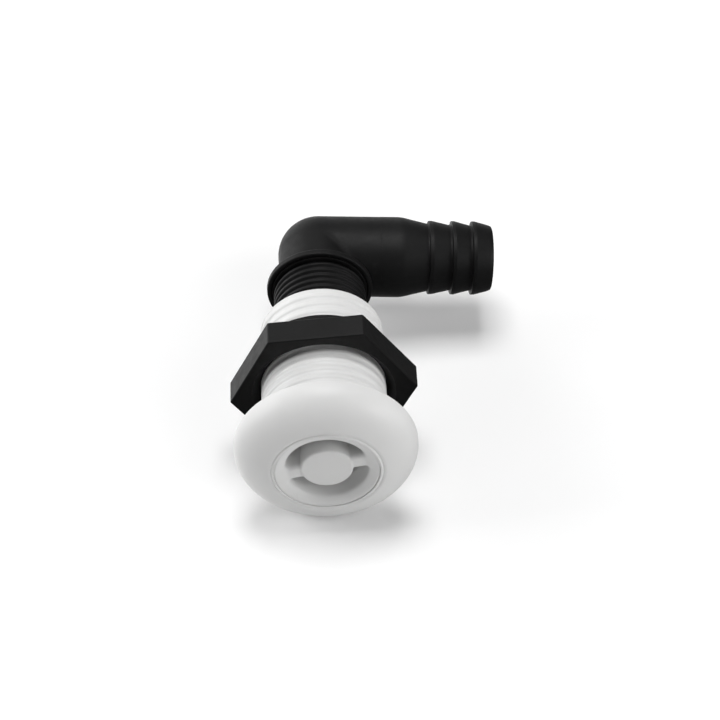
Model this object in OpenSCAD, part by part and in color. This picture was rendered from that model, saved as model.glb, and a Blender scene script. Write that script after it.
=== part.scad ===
// Livewell inlet fitting for a boat hull: a flanged and threaded thru-hull stem,
// a rotating flow nozzle in its face, a lock nut and a ninety-degree hose elbow.
// Frame: +Z up, the stem runs along +Y, the face looks along -Y.
// The origin is the centre of the seat that bears on the outside of the hull.

/* [Flange] */
// diameter of the domed flange, mm
flange_d = 50.8; // [44:0.2:60]
// thickness from the seat side of the flange to the ring round the nozzle, mm
flange_t = 11; // [9:0.5:14]
// how far in front of the flange back the rim is widest, mm
rim_back = 1.65; // [1:0.05:3]
// radial half axis of the dome's ellipse, mm
dome_a = 14; // [12:0.5:16]
// axial half axis of the dome's ellipse, mm
dome_b = 9.75; // [8:0.25:10]
// thickness of the sealing gasket under the flange, mm
gasket_t = 2; // [1:0.5:3]

/* [Stem] */
// diameter over the stem thread, mm
stem_d = 35.1; // [34:0.1:36]
// length of the stem behind the flange, mm
stem_l = 43; // [36:1:60]
// pitch of the stem thread, mm
stem_pitch = 3.1; // [2.5:0.1:4]
// depth of the stem thread, mm
stem_thread_h = 0.5; // [0.3:0.1:1]
// length of plain shank in front of the thread, mm
shank_l = 4; // [3:0.2:8]
// radius of the waterway through the stem, mm
waterway_r = 11.5; // [9:0.5:12]

/* [Nozzle] */
// radius of the nozzle's front disc, mm
nozzle_r = 14.45; // [14:0.05:14.5]
// radius of the nozzle's sleeve, mm
sleeve_r = 12.75; // [12:0.05:13]
// radius of the round hub, mm
hub_r = 7.2; // [6:0.1:8]
// width of the two webs that carry the hub, mm
web_w = 4.7; // [3:0.1:6]
// turn of the web line from level, right end up, degrees
web_angle = 12.5; // [0:0.5:45]
// width of each flow window, degrees
window_deg = 84; // [60:1:86]
// travel of the nozzle between open and shut, degrees
nozzle_travel = 90; // [60:5:90]

/* [Lock nut] */
// size across the nut's flats, mm
nut_af = 45.8; // [42:0.1:50]
// thickness of the hexagon, mm
nut_t = 7.8; // [6:0.2:10]
// diameter of the round boss behind the hexagon, mm
nut_boss_d = 41.3; // [38:0.1:45]
// height of the round boss, mm
nut_boss_t = 3.6; // [2:0.2:6]
// distance from the flange back to the nut, mm
nut_pos = 17.8; // [3:0.1:30]
// turn of the nut from corner-level, right corner up, degrees
nut_angle = 5; // [0:1:60]

/* [Elbow] */
// diameter over the elbow's male thread, mm
elbow_thread_d = 26.7; // [26:0.1:27.2]
// pitch of the elbow's male thread, mm
elbow_pitch = 2.209; // [1.8:0.001:2.4]
// distance from the flange back to the end of the male thread, mm
elbow_in = 37; // [30:0.5:41]
// distance from the flange back to the front of the collar, mm
collar_pos = 58.5; // [50:0.1:62]
// diameter of the collar, mm
collar_d = 30.6; // [28:0.2:34]
// distance from the flange back to the axis of the hose leg, mm
leg_pos = 73; // [68:0.5:80]
// radius of the hose leg, mm
leg_r = 11.8; // [10:0.1:13]
// turn of the hose leg below level, degrees
elbow_angle = 3.2; // [0:0.2:10]
// radius over the hose barbs, mm
barb_r = 10.83; // [10:0.01:11.5]
// length from the stem axis to the tip of the hose tail, mm
tail_l = 51; // [45:0.5:60]
// radius of the waterway through the hose tail, mm
tail_bore_r = 7.9; // [6:0.1:8.5]

/* [Hidden] */
// part selected for drawing, and the list of parts
// running clearance on a radius
fit = 0.07;
flange_r = flange_d / 2;
stem_r = stem_d / 2;
stem_root = stem_r - stem_thread_h;
face_z = -flange_t;
// seat for the nozzle: a shallow counterbore and the sleeve's bore
seat_r = nozzle_r + 0.15;
sleeve_bore_r = sleeve_r + fit;
shoulder_z = -6.9;
// fixed shutter wall across the stem's bore
wall_t = 3;
pivot_r = 2.55;
pivot_bore_r = pivot_r + fit;
window_in = 7.5;
window_out = 10.1;
// socket for the elbow
socket_r = elbow_thread_d / 2 + fit;
socket_l = 22.5;
elbow_root = elbow_thread_d / 2 - 1.1;
// cup in the collar's face, round the thread
cup_r = 13.9;
stop_deg = 8;
white = [0.92, 0.92, 0.91];
black = [0.07, 0.07, 0.07];
rubber = [0.04, 0.04, 0.04];
steel = [0.72, 0.73, 0.74];
$fn = 96;

// children are drawn with their axis up from the flange back; this lays them
// along +Y behind the hull seat
module along_stem() {
  translate([0, -gasket_t, 0])
    rotate([-90, 0, 0])
      children();
}

// plain ring between two heights
module ring(r_out, r_in, z0, z1) {
  translate([0, 0, z0])
    difference() {
      cylinder(r = r_out, h = z1 - z0);
      translate([0, 0, -1])
        cylinder(r = r_in, h = z1 - z0 + 2);
    }
}

// part of a ring, from angle a0 through a degrees
module ring_sector(r_out, r_in, z0, z1, a0, a) {
  rotate([0, 0, a0])
    translate([0, 0, z0])
      rotate_extrude(angle = a)
        translate([r_in, 0])
          square([r_out - r_in, z1 - z0]);
}

// one crest of a thread, drawn as a closed ring on its root
module crest(r_root, r_top, z, w_root, w_top) {
  rotate_extrude()
    polygon([
      [r_root - 0.3, z - w_root / 2],
      [r_root, z - w_root / 2],
      [r_top, z - w_top / 2],
      [r_top, z + w_top / 2],
      [r_root, z + w_root / 2],
      [r_root - 0.3, z + w_root / 2]
    ]);
}

// domed front of the flange as points from the face ring out to the rim
function dome(t0, n) = [
  for (i = [0:n])
    let (t = t0 * (1 - i / n))
      [flange_r - dome_a + dome_a * cos(t), -rim_back - dome_b * sin(t)]
];

// flange and stem in one moulding, with the fixed shutter wall inside
module thru_hull_body() {
  first = shank_l + 1.95;
  crests = floor((stem_l - 1.9 - first) / stem_pitch);
  color(white)
    along_stem()
      difference() {
        union() {
          rotate_extrude()
            polygon(concat(
              [
                [0, shoulder_z],
                [sleeve_bore_r, shoulder_z],
                [seat_r, shoulder_z],
                [seat_r, face_z + 0.3],
                [seat_r + 0.1, face_z + 0.08],
                [seat_r + 0.3, face_z],
                [seat_r + 0.6, face_z + 0.06]
              ],
              dome(72.5, 24),
              [
                [flange_r, -1.3],
                [flange_r - 0.12, -0.8],
                [flange_r - 0.45, -0.35],
                [flange_r - 0.9, -0.08],
                [flange_r - 1.4, 0],
                [stem_r, 0],
                [stem_r, shank_l],
                [stem_root, shank_l + 0.5],
                [stem_root, stem_l - 0.9],
                [stem_root - 0.7, stem_l],
                [0, stem_l]
              ]
            ));
          for (i = [0:crests])
            crest(stem_root, stem_r, first + i * stem_pitch, 1.9, 0.8);
        }
        // sleeve bore in front of the shutter wall
        translate([0, 0, shoulder_z - 1])
          cylinder(r = sleeve_bore_r, h = 1 - shoulder_z);
        // pivot bore through the wall
        translate([0, 0, -1])
          cylinder(r = pivot_bore_r, h = wall_t + 2);
        // two windows through the wall
        for (a = [90, 270])
          ring_sector(window_out, window_in, -1, wall_t + 1,
                      a - web_angle - window_deg / 2, window_deg);
        // arc recess that stops the nozzle at open and at shut
        ring_sector(12.5, 10.9, -0.5, 1.4,
                    -web_angle - stop_deg / 2 - 1, nozzle_travel + stop_deg + 2);
        // waterway, elbow socket and its lead-in
        translate([0, 0, wall_t])
          cylinder(r = waterway_r, h = stem_l);
        translate([0, 0, stem_l - socket_l])
          cylinder(r = socket_r, h = socket_l + 1);
        translate([0, 0, stem_l - 1.2])
          cylinder(r1 = socket_r, r2 = socket_r + 1.3, h = 1.3);
      }
}

// flat rubber ring between the flange and the hull
module hull_gasket() {
  color(rubber)
    along_stem()
      ring(flange_r - 2.9, stem_r + 0.1, 0, gasket_t);
}

// rotating insert: dished ring, round hub, two webs and a shutter disc
module flow_nozzle() {
  shut_z = -1.6;
  back_z = -0.2;
  disc_back = shoulder_z - 0.1;
  color(white)
    along_stem()
      difference() {
        union() {
          // dished ring and sleeve with its seal groove
          rotate_extrude()
            polygon([
              [10.3, back_z],
              [sleeve_r, back_z],
              [sleeve_r, -2.8],
              [11.29, -2.8],
              [11.29, -4.4],
              [sleeve_r, -4.4],
              [sleeve_r, disc_back],
              [nozzle_r, disc_back],
              [nozzle_r, -10.45],
              [nozzle_r - 0.3, -10.7],
              [13.5, -10.6],
              [12.7, -10.2],
              [12.15, -9.3],
              [11.15, -7.6],
              [10.45, -5.8],
              [10.3, -4]
            ]);
          // hub with a rounded edge
          rotate_extrude()
            polygon([
              [0, -9.55],
              [hub_r - 0.8, -9.55],
              [hub_r - 0.25, -9.35],
              [hub_r, -8.8],
              [hub_r, back_z],
              [0, back_z]
            ]);
          // webs from the hub to the ring, clear of the seal groove
          rotate([0, 0, -web_angle])
            intersection() {
              rotate_extrude()
                polygon([[0, -12], [12, -12], [12, -4.9], [10.8, -4.9], [10.8, 0], [0, 0]]);
              rotate([90, 0, 90])
                linear_extrude(height = 24, center = true)
                  polygon([
                    [-web_w / 2, shut_z],
                    [-web_w / 2, -8.3],
                    [-web_w / 2 + 0.35, -8.9],
                    [-web_w / 2 + 1.1, -9.2],
                    [web_w / 2 - 1.1, -9.2],
                    [web_w / 2 - 0.35, -8.9],
                    [web_w / 2, -8.3],
                    [web_w / 2, shut_z]
                  ]);
            }
          // shutter disc with two windows
          difference() {
            ring(10.4, hub_r - 0.4, shut_z, back_z);
            for (a = [90, 270])
              ring_sector(window_out, window_in, shut_z - 1, 1,
                          a - web_angle - window_deg / 2, window_deg);
          }
          // stop lug on the back of the sleeve
          ring_sector(12.3, 11.1, back_z - 0.5, 1.1, -web_angle - stop_deg / 2, stop_deg);
        }
        // hub cored out from behind
        translate([0, 0, -7.9])
          cylinder(r = hub_r - 1.5, h = 10);
      }
  // pivot post with its screw pilot
  color(white)
    along_stem()
      translate([0, 0, -8.2])
        difference() {
          cylinder(r = pivot_r, h = 8.2 + wall_t + 0.1);
          translate([0, 0, 2.4])
            cylinder(r = 1.46, h = 10);
        }
}

// round-section seal in the sleeve's groove
module nozzle_o_ring() {
  color(rubber)
    along_stem()
      translate([0, 0, -3.6])
        rotate_extrude()
          translate([12.04, 0])
            circle(r = 0.75, $fn = 32);
}

// flat washer that keeps the pivot post in the shutter wall
module nozzle_washer() {
  color(steel)
    along_stem()
      ring(4.6, 1.55, wall_t + 0.1, wall_t + 0.9);
}

// pan head screw into the pivot post
module nozzle_screw() {
  z0 = wall_t + 0.9;
  color(steel)
    along_stem()
      difference() {
        rotate_extrude()
          polygon([
            [0, -5.2],
            [0.5, -5.2],
            [1.45, -4],
            [1.45, z0],
            [3.4, z0],
            [3.4, z0 + 1.1],
            [3.1, z0 + 1.7],
            [2.5, z0 + 2.1],
            [0, z0 + 2.25]
          ]);
        // cross recess
        for (a = [45, 135])
          rotate([0, 0, a])
            translate([-1.7, -0.4, z0 + 0.9])
              cube([3.4, 0.8, 3]);
      }
}

// hexagonal nut with a round boss on its far side
module lock_nut() {
  nut_bore = stem_r + fit;
  top = nut_t + nut_boss_t;
  color(black)
    along_stem()
      translate([0, 0, nut_pos])
        difference() {
          union() {
            rotate([0, 0, -nut_angle])
              cylinder(r = nut_af / 2 / cos(30), h = nut_t, $fn = 6);
            rotate_extrude()
              polygon([
                [0, 1],
                [nut_boss_d / 2, 1],
                [nut_boss_d / 2, top - 0.4],
                [nut_boss_d / 2 - 0.4, top],
                [0, top]
              ]);
          }
          translate([0, 0, -1])
            cylinder(r = nut_bore, h = top + 2);
          // wide lead-in at the hull side, small one behind
          translate([0, 0, -0.01])
            cylinder(r1 = 20.3, r2 = nut_bore, h = 3.3);
          translate([0, 0, top - 1])
            cylinder(r1 = nut_bore, r2 = nut_bore + 1.05, h = 1.05);
          // internal thread as grooves
          for (i = [0:1])
            rotate_extrude()
              polygon([
                [nut_bore - 1, 4.3 + i * stem_pitch],
                [nut_bore, 4.3 + i * stem_pitch],
                [nut_bore + 0.45, 4.8 + i * stem_pitch],
                [nut_bore + 0.45, 5.5 + i * stem_pitch],
                [nut_bore, 6 + i * stem_pitch],
                [nut_bore - 1, 6 + i * stem_pitch]
              ]);
        }
}

// rubber washer in the cup of the elbow's collar
module elbow_gasket() {
  color(rubber)
    along_stem()
      ring(cup_r - 0.1, elbow_root + 0.1, collar_pos - 0.2, collar_pos + 1.4);
}

// outside of the hose leg and tail as radius against distance from the stem axis
function tail_profile() = [
  [0, -0.9],
  [leg_r, -0.9],
  [leg_r, 23.8],
  [leg_r - 0.08, 24.6],
  [leg_r - 0.3, 25.4],
  [10.3, 30.8],
  [10.08, 31.95],
  [10.6, 32.15],
  [barb_r, 32.5],
  [barb_r, 33.5],
  [9.72, 38.2],
  [9.72, 38.65],
  [10.6, 38.85],
  [barb_r, 39.2],
  [barb_r, 40],
  [9.68, 44.1],
  [9.68, 44.65],
  [10.6, 44.85],
  [barb_r, 45.2],
  [barb_r, 46],
  [9.76, 49.9],
  [9.5, 50.5],
  [9, 50.9],
  [8.5, tail_l],
  [0, tail_l]
];

// elbow: male thread, collar, spherical corner and barbed hose tail
module hose_elbow() {
  thread_l = collar_pos - 1.6 - elbow_in;
  crests = floor((thread_l - 1.4) / elbow_pitch);
  color(black)
    along_stem()
      rotate([0, 0, elbow_angle])
        difference() {
          union() {
            // threaded spigot, collar with its cup, and the straight leg
            rotate([0, 0, 100])
              rotate_extrude()
                polygon([
                  [0, elbow_in],
                  [elbow_root - 0.5, elbow_in],
                  [elbow_root, elbow_in + 0.6],
                  [elbow_root, collar_pos + 1.45],
                  [cup_r, collar_pos + 1.45],
                  [cup_r, collar_pos + 0.2],
                  [cup_r + 0.2, collar_pos],
                  [collar_d / 2 - 0.35, collar_pos],
                  [collar_d / 2, collar_pos + 0.35],
                  [collar_d / 2, collar_pos + 1.7],
                  [collar_d / 2 - 0.3, collar_pos + 2.1],
                  [12.6, collar_pos + 2.7],
                  [11.9, collar_pos + 3.1],
                  [11.5, collar_pos + 3.7],
                  [leg_r - 0.1, leg_pos + 0.6],
                  [0, leg_pos + 0.6]
                ]);
            for (i = [0:crests])
              crest(elbow_root, elbow_thread_d / 2,
                    collar_pos - 1.75 - i * elbow_pitch, 1.75, 0.5);
            translate([0, 0, leg_pos])
              sphere(r = leg_r + 0.05);
            translate([0, 0, leg_pos])
              rotate([0, 90, 0])
                rotate_extrude()
                  polygon(tail_profile());
          }
          // waterway: up the spigot, round the corner and out of the tail
          translate([0, 0, elbow_in - 1])
            cylinder(r = 9, h = leg_pos - elbow_in + 5);
          translate([-3, 0, leg_pos])
            rotate([0, 90, 0])
              cylinder(r = tail_bore_r, h = tail_l + 4);
        }
}

thru_hull_body();
hull_gasket();
flow_nozzle();
nozzle_o_ring();
nozzle_washer();
nozzle_screw();
lock_nut();
elbow_gasket();
hose_elbow();
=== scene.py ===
"""Looks for the livewell inlet fitting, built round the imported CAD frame."""
import math

import bmesh
import bpy
import numpy as np
from mathutils import Matrix, Vector


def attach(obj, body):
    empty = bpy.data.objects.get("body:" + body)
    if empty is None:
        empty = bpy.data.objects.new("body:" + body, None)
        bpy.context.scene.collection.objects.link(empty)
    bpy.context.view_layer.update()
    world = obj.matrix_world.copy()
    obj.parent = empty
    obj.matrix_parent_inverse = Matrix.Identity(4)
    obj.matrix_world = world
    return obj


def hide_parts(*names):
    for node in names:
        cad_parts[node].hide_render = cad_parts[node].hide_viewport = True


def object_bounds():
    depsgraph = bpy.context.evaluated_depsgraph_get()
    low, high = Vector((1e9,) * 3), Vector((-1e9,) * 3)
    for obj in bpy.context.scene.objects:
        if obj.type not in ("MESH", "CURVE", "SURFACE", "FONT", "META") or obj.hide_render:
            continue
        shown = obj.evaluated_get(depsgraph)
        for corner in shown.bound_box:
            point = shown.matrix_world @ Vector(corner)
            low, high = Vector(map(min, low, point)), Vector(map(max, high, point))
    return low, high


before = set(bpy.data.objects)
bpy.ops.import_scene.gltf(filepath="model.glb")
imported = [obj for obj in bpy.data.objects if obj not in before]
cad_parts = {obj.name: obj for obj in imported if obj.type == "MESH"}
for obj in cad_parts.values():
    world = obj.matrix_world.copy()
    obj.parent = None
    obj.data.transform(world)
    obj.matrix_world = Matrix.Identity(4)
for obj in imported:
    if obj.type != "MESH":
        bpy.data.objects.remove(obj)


def box_lists():
    """The whole object's box as two plain lists."""
    low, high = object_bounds()
    return [[float(v) for v in low], [float(v) for v in high]]


cad_box = box_lists()

# Lengths are in millimetres and angles in degrees; mesh_object turns them into metres.
MM = 0.001
SEAT = -2.0  # the flange's back, behind which the gasket reaches to Y = 0
RIM_R = 25.4
STEM_R = 17.55
STEM_PITCH = 3.1
STEM_DEPTH = 0.38
STEM_THREAD_START = SEAT + 5.95 - STEM_PITCH / 2
STEM_BORE_R = 11.5
SOCKET_R = 13.42  # the stem's socket for the elbow's spigot
NOZZLE_SEAT_R = 14.57
SLEEVE_SEAT_R = 12.82
WEB_ANGLE = 12.5
WINDOW_HALF_ANGLE = 42
NOZZLE_R = 14.53
NOZZLE_BORE_R = 10.3
HUB_R = 7.2
NUT_ANGLE = 5.0
NUT_BORE_R = 17.62
LEG_DIP = 3.2
LEG_Y = 71.0
LEG_R = 11.8
LEG_BORE_R = 7.9
BARB_R = 10.83
TAIL_X = 18.0  # the elbow's corner ends and its straight tail begins
SPIGOT_PITCH = 2.209
SPIGOT_BORE_R = 9.02
SPIGOT_ROOT_R = 12.25
COLLAR_Y = SEAT + 58.5
NECK_Y = SEAT + 62.6  # the collar's back ends and the elbow's corner begins
CUP_R = 13.9


# ---------------------------------------------------------------- mesh tools
def soften(obj, sharp_deg):
    """Smooth shading all over, broken at edges sharper than the angle."""
    bm = bmesh.new()
    bm.from_mesh(obj.data)
    limit = math.radians(sharp_deg)
    for edge in bm.edges:
        edge.smooth = not (len(edge.link_faces) == 2 and edge.calc_face_angle(0.0) > limit)
    for face in bm.faces:
        face.smooth = True
    bm.to_mesh(obj.data)
    bm.free()


def mesh_object(name, verts, faces, material, body, sharp_deg=35.0):
    """A smooth-shaded object from points in millimetres, riding on a body."""
    mesh = bpy.data.meshes.new(name)
    mesh.from_pydata([tuple(v) for v in np.asarray(verts) * MM], [], faces)
    bm = bmesh.new()
    bm.from_mesh(mesh)
    bmesh.ops.remove_doubles(bm, verts=bm.verts, dist=2e-7)
    bmesh.ops.recalc_face_normals(bm, faces=bm.faces)
    bm.to_mesh(mesh)
    bm.free()
    mesh.materials.append(material)
    obj = bpy.data.objects.new(name, mesh)
    bpy.context.scene.collection.objects.link(obj)
    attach(obj, body)
    soften(obj, sharp_deg)
    return obj


def merge(obj, *others, sharp_deg=45.0):
    """Joins closed meshes into obj as one closed mesh, without the cut's slivers."""
    for other in others:
        mod = obj.modifiers.new("join", "BOOLEAN")
        mod.operation = "UNION"
        mod.solver = "MANIFOLD"
        mod.object = other
    bpy.context.view_layer.update()
    graph = bpy.context.evaluated_depsgraph_get()
    mesh = bpy.data.meshes.new_from_object(obj.evaluated_get(graph))
    bm = bmesh.new()
    bm.from_mesh(mesh)
    bmesh.ops.remove_doubles(bm, verts=bm.verts, dist=3e-6)
    bmesh.ops.dissolve_degenerate(bm, edges=bm.edges, dist=1e-6)
    bm.to_mesh(mesh)
    bm.free()
    obj.modifiers.clear()
    obj.data = mesh
    for other in others:
        bpy.data.objects.remove(other)
    soften(obj, sharp_deg)
    return obj


def keep_flat(obj):
    """Weights normals by area, so flat faces stay flat beside small rounds."""
    mod = obj.modifiers.new("flat_faces", "WEIGHTED_NORMAL")
    mod.keep_sharp = True
    mod.weight = 60


def rounded(points, steps=5):
    """A profile from (radius, y, corner round) triples, with arcs at the corners."""
    out = []
    count = len(points)
    for i, (r, y, rad) in enumerate(points):
        here = np.array([r, y], float)
        if rad <= 0:
            out.append((r, y))
            continue
        before = np.array(points[i - 1][:2], float) - here
        after = np.array(points[(i + 1) % count][:2], float) - here
        la, lb = np.linalg.norm(before), np.linalg.norm(after)
        a, b = before / la, after / lb
        half = math.acos(max(-1.0, min(1.0, float(a @ b)))) / 2
        cut = min(rad / math.tan(half), la * 0.49, lb * 0.49)
        rad = cut * math.tan(half)
        bis = (a + b) / np.linalg.norm(a + b)
        centre = here + bis * (rad / math.sin(half))
        p0, p1 = here + a * cut - centre, here + b * cut - centre
        a0, a1 = math.atan2(p0[1], p0[0]), math.atan2(p1[1], p1[0])
        turn = (a1 - a0 + math.pi) % (2 * math.pi) - math.pi
        for k in range(steps + 1):
            ang = a0 + turn * k / steps
            out.append((centre[0] + rad * math.cos(ang), centre[1] + rad * math.sin(ang)))
    return out


def ring_faces(rows, turns):
    """Quads between rings of points, the last ring joined to the first."""
    faces = []
    for i in range(rows):
        j = (i + 1) % rows
        for k in range(turns):
            m = (k + 1) % turns
            faces.append((i * turns + k, i * turns + m, j * turns + m, j * turns + k))
    return faces


def revolve(profile, turns=192, bump=None):
    """Turns a closed (radius, y) outline about Y; bump(y, angle, row) adds to the radius."""
    pr = np.array([(p[0], p[1]) for p in profile], float)
    ang = np.linspace(0, 2 * math.pi, turns, endpoint=False)
    rad = np.repeat(pr[:, 0][:, None], turns, 1)
    yy = np.repeat(pr[:, 1][:, None], turns, 1)
    if bump is not None:
        rad = rad + bump(yy, ang[None, :], np.arange(len(pr))[:, None])
    verts = np.stack([rad * np.cos(ang), yy, rad * np.sin(ang)], -1).reshape(-1, 3)
    return verts, ring_faces(len(pr), turns)


def thread_wave(phase, crest, root):
    """0 at the root and 1 on the crest, for a phase in turns."""
    t = np.abs(phase - np.floor(phase) - 0.5) * 2
    lo, hi = crest, 1 - root
    s = np.clip((t - lo) / (hi - lo), 0, 1)
    return 1 - s * s * (3 - 2 * s)


def helix(y0, y1, pitch, depth, crest, root, start, fade=1.0):
    """Height of a right-hand thread between y0 and y1, fading out at both ends."""

    def height(y, ang):
        along = (y - start) / pitch + ang / (2 * math.pi)
        ends = np.clip((y - y0) / fade, 0, 1) * np.clip((y1 - y) / fade, 0, 1)
        return depth * thread_wave(along, crest, root) * ends * (y > y0) * (y < y1)

    return height


# ---------------------------------------------------------- implicit surfaces
def surface_nets(field, low, high, cell):
    """A quad mesh of field(points) = 0 inside a box, drawn onto the surface."""
    axes = [np.arange(a, b + cell, cell) for a, b in zip(low, high)]
    grid = np.stack(np.meshgrid(*axes, indexing="ij"), -1)
    f = field(grid.reshape(-1, 3)).reshape(grid.shape[:3])
    inside = f < 0
    corners = [(i, j, k) for i in (0, 1) for j in (0, 1) for k in (0, 1)]
    n = [s - 1 for s in f.shape]

    def view(a, c):
        return a[c[0]: c[0] + n[0], c[1]: c[1] + n[1], c[2]: c[2] + n[2]]

    some = np.zeros(n, bool)
    every = np.ones(n, bool)
    for c in corners:
        some |= view(inside, c)
        every &= view(inside, c)
    active = some & ~every
    idx = np.argwhere(active)
    vals = {c: f[idx[:, 0] + c[0], idx[:, 1] + c[1], idx[:, 2] + c[2]] for c in corners}
    # one point in each crossed cell: the mean of the crossings on its twelve edges
    total = np.zeros((len(idx), 3))
    hits = np.zeros(len(idx))
    for a in corners:
        for axis in range(3):
            if a[axis]:
                continue
            b = tuple(v + (i == axis) for i, v in enumerate(a))
            cross = (vals[a] < 0) != (vals[b] < 0)
            gap = np.where(cross, vals[a] - vals[b], 1.0)
            t = np.where(cross, vals[a] / gap, 0)
            point = np.repeat(np.array(a, float)[None], len(idx), 0)
            point[:, axis] += t
            total += point * cross[:, None]
            hits += cross
    verts = (idx + total / hits[:, None]) * cell + np.array(low)
    ids = np.full(n, -1)
    ids[active] = np.arange(len(idx))
    # one quad across each grid edge that the surface crosses
    faces = []
    for axis in range(3):
        u, v = [k for k in range(3) if k != axis]
        first = [slice(None)] * 3
        second = [slice(None)] * 3
        first[axis], second[axis] = slice(0, -1), slice(1, None)
        change = inside[tuple(first)] != inside[tuple(second)]
        at = np.argwhere(change)
        ok = (at[:, u] > 0) & (at[:, v] > 0) & (at[:, u] < n[u]) & (at[:, v] < n[v])
        at = at[ok]
        quad = []
        for du, dv in ((1, 1), (0, 1), (0, 0), (1, 0)):
            c = at.copy()
            c[:, u] -= du
            c[:, v] -= dv
            quad.append(ids[c[:, 0], c[:, 1], c[:, 2]])
        quad = np.stack(quad, 1)
        quad = quad[(quad >= 0).all(1)]
        faces += [tuple(int(i) for i in q) for q in quad]
    # the points are moved onto the surface, half a cell at most each time
    step = cell * 0.15
    for _ in range(3):
        value = field(verts)
        grad = np.zeros_like(verts)
        for axis in range(3):
            shift = np.zeros(3)
            shift[axis] = step
            grad[:, axis] = (field(verts + shift) - field(verts - shift)) / (2 * step)
        size = np.maximum((grad * grad).sum(1), 0.2)
        move = -grad * (value / size)[:, None]
        length = np.linalg.norm(move, axis=1)
        move *= np.minimum(1, cell * 0.5 / np.maximum(length, 1e-9))[:, None]
        verts = verts + move
    return verts, faces


def smooth_min(a, b, k):
    """The smaller of two distances, blended where they differ by less than k."""
    h = np.clip(0.5 + 0.5 * (b - a) / k, 0, 1)
    return b + (a - b) * h - k * h * (1 - h)


def polygon_distance(r, y, points):
    """Signed distance from (r, y) to a closed outline, negative inside."""
    pts = np.array(points, float)
    best = np.full(r.shape, 1e9)
    sign = np.ones(r.shape)
    for i in range(len(pts)):
        a, b = pts[i], pts[(i + 1) % len(pts)]
        e = b - a
        wx, wy = r - a[0], y - a[1]
        t = np.clip((wx * e[0] + wy * e[1]) / max(float(e @ e), 1e-12), 0, 1)
        dx, dy = wx - e[0] * t, wy - e[1] * t
        best = np.minimum(best, dx * dx + dy * dy)
        c1, c2, c3 = y >= a[1], y < b[1], e[0] * wy > e[1] * wx
        flip = (c1 & c2 & c3) | (~c1 & ~c2 & ~c3)
        sign = np.where(flip, -sign, sign)
    return sign * np.sqrt(best)


# ------------------------------------------------------------------ materials
def material(name):
    """A new material with its node tree, shader and texture coordinates."""
    mat = bpy.data.materials.new(name)
    mat.use_nodes = True
    nodes, links = mat.node_tree.nodes, mat.node_tree.links
    nodes.clear()
    out = nodes.new("ShaderNodeOutputMaterial")
    shader = nodes.new("ShaderNodeBsdfPrincipled")
    links.new(shader.outputs["BSDF"], out.inputs["Surface"])
    coords = nodes.new("ShaderNodeTexCoord")
    return mat, nodes, links, shader, coords


def noise(nodes, links, coords, scale, detail, rough=0.5, stretch=None):
    """Noise in the object's own coordinates, in metres."""
    tex = nodes.new("ShaderNodeTexNoise")
    tex.inputs["Scale"].default_value = scale
    tex.inputs["Detail"].default_value = detail
    tex.inputs["Roughness"].default_value = rough
    source = coords.outputs["Object"]
    if stretch:
        mapping = nodes.new("ShaderNodeMapping")
        mapping.inputs["Scale"].default_value = stretch
        links.new(source, mapping.inputs["Vector"])
        source = mapping.outputs["Vector"]
    links.new(source, tex.inputs["Vector"])
    return tex.outputs["Fac"]


def ramp(nodes, links, source, stops):
    """A colour ramp with (position, grey or colour) stops."""
    node = nodes.new("ShaderNodeValToRGB")
    links.new(source, node.inputs["Fac"])
    elements = node.color_ramp.elements
    while len(elements) < len(stops):
        elements.new(0.5)
    for element, (pos, value) in zip(elements, stops):
        element.position = pos
        rgb = value if isinstance(value, tuple) else (value, value, value)
        element.color = (*rgb, 1)
    return node.outputs["Color"]


def mixed(nodes, links, fac, a, b):
    """Colour a turned into colour b by fac; each is a socket or a value."""
    node = nodes.new("ShaderNodeMix")
    node.data_type = "RGBA"
    for socket, value in ((node.inputs[0], fac), (node.inputs[6], a), (node.inputs[7], b)):
        if isinstance(value, bpy.types.NodeSocket):
            links.new(value, socket)
        elif isinstance(value, tuple):
            socket.default_value = (*value, 1)
        else:
            socket.default_value = value
    return node.outputs[2]


def bumped(nodes, links, height, strength, distance, below=None):
    """A normal roughened by a height, on top of another normal if there is one."""
    node = nodes.new("ShaderNodeBump")
    node.inputs["Strength"].default_value = strength
    node.inputs["Distance"].default_value = distance
    links.new(height, node.inputs["Height"])
    if below is not None:
        links.new(below, node.inputs["Normal"])
    return node.outputs["Normal"]


def white_plastic(name, tone=1.0):
    """Satin white moulded plastic with flow marks, fine grain and faint scuffs."""
    mat, nodes, links, shader, coords = material(name)
    cloud = noise(nodes, links, coords, 38, 3)
    flow = noise(nodes, links, coords, 120, 4, 0.6, (1.0, 0.25, 1.0))
    scuff = noise(nodes, links, coords, 900, 5, 0.7, (1.0, 0.12, 0.4))
    light = tuple(c * tone for c in (0.66, 0.66, 0.655))
    deep = tuple(c * tone for c in (0.625, 0.625, 0.622))
    base = ramp(nodes, links, cloud, [(0.35, deep), (0.65, light)])
    marks = ramp(nodes, links, scuff, [(0.66, 0.0), (0.74, 0.35)])
    base = mixed(nodes, links, marks, base, tuple(c * 0.9 for c in deep))
    links.new(base, shader.inputs["Base Color"])
    rough = ramp(nodes, links, flow, [(0.3, 0.40), (0.7, 0.50)])
    rough = mixed(nodes, links, marks, rough, (0.6, 0.6, 0.6))
    links.new(rough, shader.inputs["Roughness"])
    grain = noise(nodes, links, coords, 5200, 2)
    peel = noise(nodes, links, coords, 320, 2)
    normal = bumped(nodes, links, peel, 0.25, 0.00006)
    normal = bumped(nodes, links, grain, 0.12, 0.00002, normal)
    links.new(normal, shader.inputs["Normal"])
    shader.inputs["IOR"].default_value = 1.49
    shader.inputs["Subsurface Weight"].default_value = 0.06
    shader.inputs["Subsurface Radius"].default_value = (0.6, 0.55, 0.5)
    shader.inputs["Subsurface Scale"].default_value = 0.0012
    return mat


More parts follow.
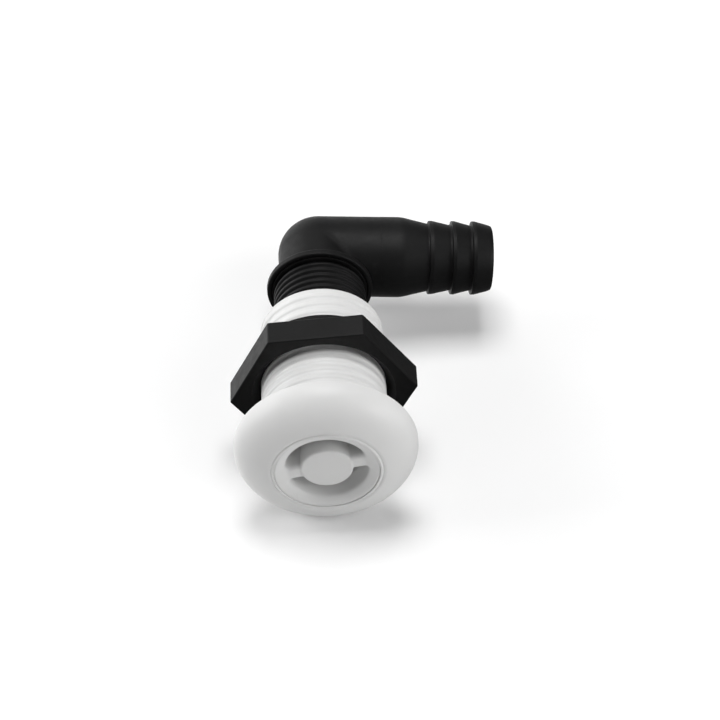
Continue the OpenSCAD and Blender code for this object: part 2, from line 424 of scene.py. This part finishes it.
def black_plastic(name, tone=1.0):
    """Matt black moulded plastic: spark-eroded grain, dusty bloom and small rubs."""
    mat, nodes, links, shader, coords = material(name)
    cloud = noise(nodes, links, coords, 60, 4, 0.6)
    bloom = noise(nodes, links, coords, 420, 6, 0.7)
    rub = noise(nodes, links, coords, 1500, 4, 0.7, (1.0, 0.2, 0.6))
    dark = tuple(c * tone for c in (0.0028, 0.0028, 0.0029))
    pale = tuple(c * tone for c in (0.0052, 0.0052, 0.0054))
    base = ramp(nodes, links, cloud, [(0.35, dark), (0.68, pale)])
    specks = ramp(nodes, links, bloom, [(0.58, 0.0), (0.76, 0.5)])
    base = mixed(nodes, links, specks, base, (0.011, 0.011, 0.011))
    rubs = ramp(nodes, links, rub, [(0.68, 0.0), (0.78, 0.4)])
    base = mixed(nodes, links, rubs, base, (0.024, 0.024, 0.024))
    links.new(base, shader.inputs["Base Color"])
    rough = ramp(nodes, links, bloom, [(0.3, 0.46), (0.7, 0.60)])
    rough = mixed(nodes, links, rubs, rough, (0.38, 0.38, 0.38))
    links.new(rough, shader.inputs["Roughness"])
    grain = noise(nodes, links, coords, 3600, 3)
    waves = noise(nodes, links, coords, 210, 2)
    normal = bumped(nodes, links, waves, 0.25, 0.0001)
    normal = bumped(nodes, links, grain, 0.35, 0.00003, normal)
    links.new(normal, shader.inputs["Normal"])
    shader.inputs["IOR"].default_value = 1.47
    shader.inputs["Specular IOR Level"].default_value = 0.22
    return mat


def black_rubber(name):
    """Matt black rubber with a fine grain and a little dust."""
    mat, nodes, links, shader, coords = material(name)
    cloud = noise(nodes, links, coords, 140, 5, 0.65)
    base = ramp(nodes, links, cloud,
                [(0.35, (0.0025, 0.0025, 0.0025)), (0.7, (0.006, 0.006, 0.006))])
    dust = ramp(nodes, links, noise(nodes, links, coords, 1900, 4), [(0.6, 0.0), (0.75, 0.5)])
    base = mixed(nodes, links, dust, base, (0.012, 0.012, 0.0117))
    links.new(base, shader.inputs["Base Color"])
    links.new(ramp(nodes, links, cloud, [(0.3, 0.68), (0.7, 0.82)]), shader.inputs["Roughness"])
    normal = bumped(nodes, links, noise(nodes, links, coords, 4200, 3), 0.4, 0.00003)
    links.new(normal, shader.inputs["Normal"])
    shader.inputs["Specular IOR Level"].default_value = 0.12
    return mat


def stainless(name):
    """Stainless steel with fine turning lines."""
    mat, nodes, links, shader, coords = material(name)
    lines = noise(nodes, links, coords, 2400, 3, 0.6, (1.0, 12.0, 1.0))
    base = ramp(nodes, links, lines, [(0.3, (0.52, 0.52, 0.51)), (0.7, (0.66, 0.66, 0.65))])
    links.new(base, shader.inputs["Base Color"])
    links.new(ramp(nodes, links, lines, [(0.3, 0.22), (0.7, 0.38)]), shader.inputs["Roughness"])
    links.new(bumped(nodes, links, lines, 0.2, 0.00002), shader.inputs["Normal"])
    shader.inputs["Metallic"].default_value = 1.0
    return mat


WHITE = white_plastic("body_white_plastic")
NOZZLE_WHITE = white_plastic("nozzle_white_plastic", 0.985)
NUT_BLACK = black_plastic("nut_black_plastic")
ELBOW_BLACK = black_plastic("elbow_black_plastic", 1.05)
RUBBER = black_rubber("seal_rubber")
STEEL = stainless("stainless_steel")


# ------------------------------------------------------- thru-hull body (white)
def dome(t0=70.4, steps=46):
    """The flange's front as points from beside the bead out to the rim."""
    out = []
    for i in range(steps + 1):
        t = math.radians(t0 * (1 - i / steps))
        out.append((11.4 + 14 * math.cos(t), SEAT - 1.65 - 9.75 * math.sin(t)))
    return out


def thru_hull_body():
    y = SEAT
    front = rounded([
        (SLEEVE_SEAT_R, y - 6.9, 0.1), (NOZZLE_SEAT_R, y - 6.9, 0.1),
        (NOZZLE_SEAT_R, y - 10.98, 0.1), (15.02, y - 11.0, 0.2), (15.36, y - 10.66, 0.25),
        (15.75, y - 10.8, 0.4), (16.4, y - 10.75, 0)], 6)[:-1]
    rim = rounded([(RIM_R, y - 1.65, 0), (RIM_R, y, 1.25), (STEM_R, y, 0.25),
                   (STEM_R, y + 1, 0)], 8)
    face = front + dome()
    outside = face + rim[1:] + [(STEM_R, y + 2), (STEM_R, y + 3.6)]
    thread_from, thread_to = y + 3.7, y + 42.4
    for v in np.arange(thread_from, thread_to, 0.2):
        drop = np.clip((v - thread_from) / 0.8, 0, 1) * STEM_DEPTH
        outside.append((STEM_R - drop, float(v)))
    inside = rounded([
        (17.15, thread_to, 0), (16.9, y + 42.75, 0.2), (16.3, y + 43, 0.15), (14.75, y + 43, 0.2),
        (SOCKET_R, y + 41.8, 0.1), (SOCKET_R, y + 20.5, 0.2), (STEM_BORE_R, y + 20.5, 0.3),
        (STEM_BORE_R, y + 3, 0.2), (10.3, y + 3, 0.1), (10.3, y, 0.1), (SLEEVE_SEAT_R, y, 0.15),
        (SLEEVE_SEAT_R, y - 6.9, 0)], 4)
    height = helix(thread_from + 0.6, thread_to - 0.1, STEM_PITCH, STEM_DEPTH, 0.26, 0.30,
                   STEM_THREAD_START, 0.7)

    def stem_thread(yy, ang, k):
        return height(yy, ang - math.pi / 2) * (k > len(face)) * (k < len(outside))

    verts, faces = revolve(outside + inside[:-1], 256, stem_thread)
    body = mesh_object("hull_body_visual", verts, faces, WHITE, "fitting", 40)
    merge(body, *shutter_wall(), sharp_deg=40)
    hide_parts("thru_hull_body")
    return body


def sector(r0, r1, y0, y1, a0, a1, steps=40):
    """A block between two radii, two depths and two angles."""
    angs = np.radians(np.linspace(a0, a1, steps + 1))
    verts = []
    for a in angs:
        for r, y in ((r0, y0), (r1, y0), (r1, y1), (r0, y1)):
            verts.append((r * math.cos(a), y, r * math.sin(a)))
    faces = [(0, 1, 2, 3), tuple(4 * steps + i for i in (3, 2, 1, 0))]
    for s in range(steps):
        for i in range(4):
            j = (i + 1) % 4
            faces.append((4 * s + i, 4 * s + j, 4 * s + 4 + j, 4 * s + 4 + i))
    return np.array(verts), faces


def shutter_wall():
    """The fixed wall across the bore, with two windows beside the web line."""
    y = SEAT
    middle = rounded([(2.62, y, 0.1), (7.5, y, 0), (7.5, y + 3, 0), (2.62, y + 3, 0.1)])
    parts = [revolve(middle, 96)]
    half = 90 - WINDOW_HALF_ANGLE
    for mid in (WEB_ANGLE, WEB_ANGLE + 180):
        parts.append(sector(7.4, 10.45, y + 0.002, y + 2.998, mid - half, mid + half))
    return [mesh_object(f"wall_{i}", *part, WHITE, "fitting") for i, part in enumerate(parts)]


# ------------------------------------------------------------------- nozzle
# The ring's outline as (radius, y): sleeve with its groove, rim, dished front and bore.
RING = [(NOZZLE_BORE_R, -0.2), (12.75, -0.2), (12.75, -2.8), (11.29, -2.8), (11.29, -4.4),
        (12.75, -4.4), (12.75, -7.0), (NOZZLE_R, -7.0), (NOZZLE_R, -10.6), (14.48, -10.68),
        (14.35, -10.7), (13.95, -10.66), (13.3, -10.38), (12.6, -9.98), (12.1, -9.66),
        (11.8, -9.38), (11.6, -9.0), (11.45, -8.3), (11.3, -7.4), (11.1, -6.4), (10.75, -5.4),
        (10.4, -4.7), (NOZZLE_BORE_R, -4)]


def round_block(across, down, edge):
    """Distance to a block whose sides are at across = 0 and top at down = 0."""
    a, b = across + edge, down + edge
    inside = np.minimum(np.maximum(a, b), 0)
    return inside + np.hypot(np.maximum(a, 0), np.maximum(b, 0)) - edge


def nozzle_field(p):
    """Distance to the nozzle: dished ring, hub, two webs and shutter disc."""
    x, y, z = p[:, 0], p[:, 1] - SEAT, p[:, 2]
    r = np.hypot(x, z)
    ring = polygon_distance(r, y, RING)
    hub = round_block(r - HUB_R, -9.55 - y, 0.55)
    # webs: one rounded bar across the ring
    a = math.radians(WEB_ANGLE)
    u, v = x * math.cos(a) + z * math.sin(a), -x * math.sin(a) + z * math.cos(a)
    web = round_block(np.abs(v) - 2.35, -9.25 - y, 1.2)
    web = np.maximum(web, r - np.where(y < -4.9, 12.0, 10.8))
    front = smooth_min(smooth_min(ring, web, 1.5), hub, 0.3)
    # the blends stay inside the ring's outline and behind its face
    front = np.maximum(front, np.maximum(np.maximum(r - NOZZLE_R, y + 0.2), -10.7 - y))
    # shutter disc with its windows
    disc = np.maximum(np.maximum(-1.6 - y, y + 0.2), r - 10.6)
    off = np.abs(np.abs(np.degrees(np.arctan2(v, u))) - 90)
    window = np.maximum(np.maximum(7.5 - r, r - 10.1),
                        (off - WINDOW_HALF_ANGLE) * r * math.pi / 180)
    disc = np.maximum(disc, -window)
    # cored out from behind
    core = np.maximum(r - 5.7, -7.9 - y)
    return np.maximum(np.minimum(front, disc), -core)


def flow_nozzle():
    verts, faces = surface_nets(
        nozzle_field, (-14.9, SEAT - 11.1, -14.9), (14.9, SEAT + 0.3, 14.9), 0.225)
    nozzle = mesh_object("flow_nozzle_visual", verts, faces, NOZZLE_WHITE, "nozzle", 50)
    y = SEAT
    post = rounded([(1.46, y - 5.8, 0), (1.46, y + 3.1, 0.1), (2.55, y + 3.1, 0.15),
                    (2.55, y - 8, 0), (1.46, y - 8, 0)], 4)
    post = mesh_object("post", *revolve(post, 64), NOZZLE_WHITE, "nozzle")
    lug = sector(11.1, 12.3, y - 0.5, y + 1.1, WEB_ANGLE - 4, WEB_ANGLE + 4, 6)
    lug = mesh_object("lug", *lug, NOZZLE_WHITE, "nozzle")
    merge(nozzle, post, lug, sharp_deg=50)
    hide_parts("flow_nozzle")


# ----------------------------------------------------------------- lock nut
def hexagon_radius(ang, apothem, corner):
    """Polar radius of a hexagon whose corners are rounded."""
    step = math.pi / 3
    local = (ang - math.radians(NUT_ANGLE) + step / 2) % step - step / 2
    flat = apothem / np.cos(np.abs(local) - step / 2)
    centre = (apothem - corner) / math.cos(step / 2)
    disc = np.maximum(corner ** 2 - (centre * np.sin(local)) ** 2, 0)
    arc = centre * np.cos(local) + np.sqrt(disc)
    limit = math.atan2(corner * math.sin(step / 2),
                       centre + corner * math.cos(step / 2))
    return np.where(np.abs(local) < limit, arc, flat)


def lock_nut():
    front = SEAT + 17.8
    back, top = front + 7.8, front + 11.4
    corners = np.radians(NUT_ANGLE + 60 * np.arange(6))
    fine = np.radians(np.linspace(-1.4, 1.4, 13))
    even = np.linspace(0, 2 * math.pi, 240, endpoint=False)
    ang = np.unique(np.round(np.concatenate(
        [even, *(c + fine for c in corners)]) % (2 * math.pi), 6))
    apothem, corner, bevel = 22.9, 0.7, 0.45
    rows = []

    def plain(points):
        for r, y in points:
            rows.append((np.full(len(ang), r), y))

    plain(rounded([(NUT_BORE_R, front + 8, 0), (NUT_BORE_R, front + 3.3, 0.2),
                   (20.3, front + 0.05, 0.25), (21, front, 0)], 4)[1:-1])
    for k in range(7):
        t = math.pi / 2 * k / 6
        inset = bevel * (1 - math.sin(t))
        rows.append((hexagon_radius(ang, apothem - inset, corner),
                     front + bevel * (1 - math.cos(t))))
    for k in range(7):
        t = math.pi / 2 * k / 6
        inset = bevel * (1 - math.cos(t))
        rows.append((hexagon_radius(ang, apothem - inset, corner),
                     back - bevel * (1 - math.sin(t))))
    plain(rounded([(22, back, 0), (20.65, back, 0.5), (20.65, top, 0.45), (18.6, top, 0.2),
                   (NUT_BORE_R, top - 1, 0.15), (NUT_BORE_R, top - 3, 0)], 5)[1:-1])
    low, high = front + 3.9, top - 1.4
    for v in np.arange(high, low, -0.15):
        rows.append((np.full(len(ang), NUT_BORE_R), float(v)))
    cut = helix(low, high, STEM_PITCH, 0.4, 0.3, 0.3, STEM_THREAD_START, 0.6)
    count = len(ang)
    verts = []
    for r, y in rows:
        if low < y < high and r[0] < NUT_BORE_R + 0.01:
            r = r + cut(np.full(count, y), ang - math.pi / 2)
        verts.append(np.stack([r * np.cos(ang), np.full(count, y), r * np.sin(ang)], -1))
    nut = mesh_object("lock_nut_visual", np.concatenate(verts), ring_faces(len(rows), count),
                      NUT_BLACK, "nut", 40)
    keep_flat(nut)
    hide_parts("lock_nut")


# -------------------------------------------------------------------- elbow
def to_leg(verts):
    """Points drawn with the hose leg along +X, turned to its dip about Y."""
    a = math.radians(LEG_DIP)
    x, y, z = verts[:, 0], verts[:, 1], verts[:, 2]
    return np.stack([x * math.cos(a) + z * math.sin(a), y,
                     -x * math.sin(a) + z * math.cos(a)], -1)


def about_x(verts):
    """Points drawn about Y, laid along the hose leg's own axis."""
    return np.stack([verts[:, 1], verts[:, 0] + LEG_Y, verts[:, 2]], -1)


def elbow_field(p):
    """Distance to the elbow's corner: two hollow legs and a round corner, blended."""
    x, y, z = p[:, 0], p[:, 1], p[:, 2]
    ra = np.hypot(x, z)
    rb = np.hypot(y - LEG_Y, z)
    leg_a = np.maximum(ra - (11.5 + (y - NECK_Y) * 0.0288), y - LEG_Y)
    leg_b = np.maximum(rb - LEG_R, -x)
    ball = np.sqrt(x * x + (y - LEG_Y) ** 2 + z * z) - LEG_R
    inner = np.clip(np.minimum(x, LEG_Y - y) / 7, 0.001, 1)
    outer = np.minimum(smooth_min(leg_a, leg_b, 1.3 * inner), ball)
    outer = np.maximum(outer, np.maximum(x - TAIL_X - 0.3, SEAT + 60.2 - y))
    bore_a = np.maximum(ra - SPIGOT_BORE_R + 0.02, y - LEG_Y - 4)
    bore_b = np.maximum(rb - LEG_BORE_R - 0.05, -3 - x)
    bore = smooth_min(bore_a, bore_b, 0.6)
    return np.maximum(outer, -bore)


TAIL_ROWS = 76  # rows of the tail's outline before the last barb's crest


def hose_tail():
    """The straight leg, its taper, the barbs and the mould's parting line."""
    leg = LEG_R + 0.03  # proud of the corner's mesh, so that their join is one clean edge
    outline = [(leg, TAIL_X), (leg, TAIL_X + 1)] + rounded([
        (leg, 22, 0), (leg, 24.2, 14), (10.05, 31.7, 0.12), (10.03, 32.15, 0.1),
        (BARB_R, 32.35, 0.1), (BARB_R, 33.4, 0.5), (9.72, 38.3, 0.1), (9.7, 38.85, 0.1),
        (BARB_R, 39.05, 0.1), (BARB_R, 40.0, 0.5), (9.68, 44.3, 0.1), (9.66, 44.85, 0.1),
        (BARB_R, 45.05, 0.1), (BARB_R, 46.0, 0.6), (9.8, 49.9, 0.5), (9.35, 50.95, 0.6),
        (LEG_BORE_R, 51.0, 0.35), (LEG_BORE_R, TAIL_X + 4, 0)], 5) + [(LEG_BORE_R, TAIL_X)]
    parting = math.radians(180 - 6)

    def seam(along, ang, k):
        off = (ang - parting + math.pi) % (2 * math.pi) - math.pi
        wave = 0.6 + 0.4 * np.sin(along * 1.7) * np.sin(along * 0.61 + 1)
        ridge = 0.1 * wave * np.exp(-(off * 11.0 / 0.25) ** 2)
        return ridge * (k < TAIL_ROWS) * (along > TAIL_X + 1)

    verts, faces = revolve(outline, 216, seam)
    return about_x(verts), faces


def threaded_spigot():
    """The spigot with its helical thread, and the collar with its cup."""
    start, end = SEAT + 37, SEAT + 57.7
    outline = rounded([(SPIGOT_BORE_R, start, 0.3), (11.75, start, 0.2),
                       (SPIGOT_ROOT_R, start + 0.6, 0.1), (SPIGOT_ROOT_R, start + 1, 0)], 4)[:-1]
    first = len(outline)
    for v in np.arange(start + 1.05, end, 0.15):
        rise = 0.3 * float(np.clip((v - start - 1) / 0.8, 0, 1) * np.clip((end - v) / 0.8, 0, 1))
        outline.append((SPIGOT_ROOT_R + rise, float(v)))
    last = len(outline)
    cup = COLLAR_Y + 1.45
    outline += rounded([
        (SPIGOT_ROOT_R, end + 0.3, 0), (SPIGOT_ROOT_R, cup, 0.1), (CUP_R, cup, 0.15),
        (CUP_R, COLLAR_Y, 0.35), (15.3, COLLAR_Y, 0.5), (15.3, COLLAR_Y + 1.95, 0.5),
        (12.6, COLLAR_Y + 2.6, 0.6), (11.45, NECK_Y, 0), (SPIGOT_BORE_R, NECK_Y, 0)], 5)
    height = helix(start + 1.1, end - 0.1, SPIGOT_PITCH, 0.8, 0.24, 0.1,
                   COLLAR_Y - 1.75 - SPIGOT_PITCH / 2, 0.8)

    def spigot_thread(yy, ang, k):
        return height(yy, ang - math.pi / 2) * (k >= first) * (k < last)

    return revolve(outline, 216, spigot_thread)


def hose_elbow():
    low, high = (-12.6, SEAT + 59.6, -12.6), (TAIL_X + 1.2, LEG_Y + 12.6, 12.6)
    corner = surface_nets(elbow_field, low, high, 0.38)
    parts = []
    for name, (verts, faces) in (("hose_elbow_visual", corner), ("tail", hose_tail()),
                                 ("spigot", threaded_spigot())):
        parts.append(mesh_object(name, to_leg(verts), faces, ELBOW_BLACK, "elbow"))
    merge(*parts, sharp_deg=50)
    keep_flat(parts[0])
    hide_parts("hose_elbow")


# ------------------------------------------------------- seals and fixings
def small_parts():
    y = SEAT
    ring = rounded([(17.65, y, 0.3), (22.5, y, 0.3), (22.5, y + 2, 0.35), (17.65, y + 2, 0.35)], 5)
    gasket = mesh_object("hull_gasket_visual", *revolve(ring, 192), RUBBER, "fitting")
    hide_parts("hull_gasket")
    ring = rounded([(12.35, y + 58.3, 0.3), (13.8, y + 58.3, 0.35), (13.8, y + 59.9, 0.2),
                    (12.35, y + 59.9, 0.2)], 5)
    seal = mesh_object("elbow_gasket_visual", *revolve(ring, 144), RUBBER, "elbow_seal")
    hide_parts("elbow_gasket")
    for node, mat in (("nozzle_o_ring", RUBBER), ("nozzle_washer", STEEL), ("nozzle_screw", STEEL)):
        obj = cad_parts[node]
        obj.data.materials.clear()
        obj.data.materials.append(mat)


thru_hull_body()
flow_nozzle()
lock_nut()
hose_elbow()
small_parts()


# -------------------------------------------------------- floor, light, camera
def floor():
    """A pale floor just under the object, glowing far away so that it has no horizon."""
    mesh = bpy.data.meshes.new("floor")
    size, z = 6.0, cad_box[0][2] - 0.0002
    mesh.from_pydata([(-size, -size, z), (size, -size, z), (size, size, z), (-size, size, z)],
                     [], [(0, 1, 2, 3)])
    obj = bpy.data.objects.new("floor", mesh)
    bpy.context.scene.collection.objects.link(obj)
    mat, nodes, links, shader, coords = material("pale_floor")
    tone = ramp(nodes, links, noise(nodes, links, coords, 3, 2),
                [(0.3, (0.93, 0.93, 0.93)), (0.7, (0.95, 0.95, 0.95))])
    links.new(tone, shader.inputs["Base Color"])
    away = nodes.new("ShaderNodeVectorMath")
    away.operation = "LENGTH"
    links.new(coords.outputs["Object"], away.inputs[0])
    far = nodes.new("ShaderNodeMapRange")
    far.inputs["From Min"].default_value = 0.3
    far.inputs["From Max"].default_value = 1.6
    far.inputs["To Max"].default_value = 0.8
    links.new(away.outputs["Value"], far.inputs["Value"])
    links.new(far.outputs["Result"], shader.inputs["Emission Strength"])
    shader.inputs["Emission Color"].default_value = (1, 1, 1, 1)
    shader.inputs["Roughness"].default_value = 0.95
    shader.inputs["Specular IOR Level"].default_value = 0.1
    mesh.materials.append(mat)
    obj.visible_glossy = False


def area_light(name, turn, rise, power, gloss=True):
    """A half-metre softbox one metre from the middle of the object."""
    data = bpy.data.lights.new(name, "AREA")
    data.shape = "SQUARE"
    data.size = 0.5
    data.energy = power
    obj = bpy.data.objects.new(name, data)
    bpy.context.scene.collection.objects.link(obj)
    away = Vector((math.cos(turn) * math.cos(rise), math.sin(turn) * math.cos(rise),
                   math.sin(rise)))
    obj.location = Vector((0.01, 0.03, 0)) + away
    obj.rotation_euler = (-away).to_track_quat("-Z", "Y").to_euler()
    obj.visible_glossy = gloss


WALL_SIDE = (-0.62, 0.72, -0.31)  # towards the room's brightest wall


def studio():
    """A grey room, brighter on one side, with five softboxes."""
    world = bpy.data.worlds.new("studio")
    world.use_nodes = True
    nodes, links = world.node_tree.nodes, world.node_tree.links
    coords = nodes.new("ShaderNodeTexCoord")
    toward = nodes.new("ShaderNodeVectorMath")
    toward.operation = "DOT_PRODUCT"
    toward.inputs[1].default_value = WALL_SIDE
    links.new(coords.outputs["Generated"], toward.inputs[0])
    glow = ramp(nodes, links, toward.outputs["Value"], [(0.4, 0.16), (0.95, 1.5)])
    links.new(glow, nodes["Background"].inputs["Color"])
    bpy.context.scene.world = world
    for name, turn, rise, power, gloss in (
            ("top_softbox", 90, 81, 6.5, True), ("left_softbox", 174, 22, 4.2, True),
            ("right_softbox", 340, 20, 3.3, True), ("front_softbox", 315, 42, 1.75, False),
            ("back_softbox", 135, 20, 0.85, True)):
        area_light(name, math.radians(turn), math.radians(rise), power, gloss)
    view = bpy.context.scene.view_settings
    view.view_transform = "Standard"
    view.look = "None"
    view.exposure = 0.0
    view.gamma = 1.0


def camera():
    """The photo's camera, as solved from its ellipses and straight edges."""
    az, el = math.radians(-2.28), math.radians(46.91)
    toward = Vector((math.sin(az) * math.cos(el), -math.cos(az) * math.cos(el), math.sin(el)))
    right = Vector((math.cos(az), math.sin(az), 0))
    up = toward.cross(right)
    face = Vector((0, (SEAT - 11) * MM, 0))
    place = face + right * 0.00893 + up * 0.03071 + toward * 0.691
    data = bpy.data.cameras.new("camera")
    data.sensor_width = 36
    data.lens = 127.0
    data.clip_start, data.clip_end = 0.01, 20
    obj = bpy.data.objects.new("camera", data)
    bpy.context.scene.collection.objects.link(obj)
    turn = Matrix((right, up, toward)).transposed()
    obj.matrix_world = Matrix.Translation(place) @ turn.to_4x4()
    bpy.context.scene.camera = obj


floor()
studio()
camera()
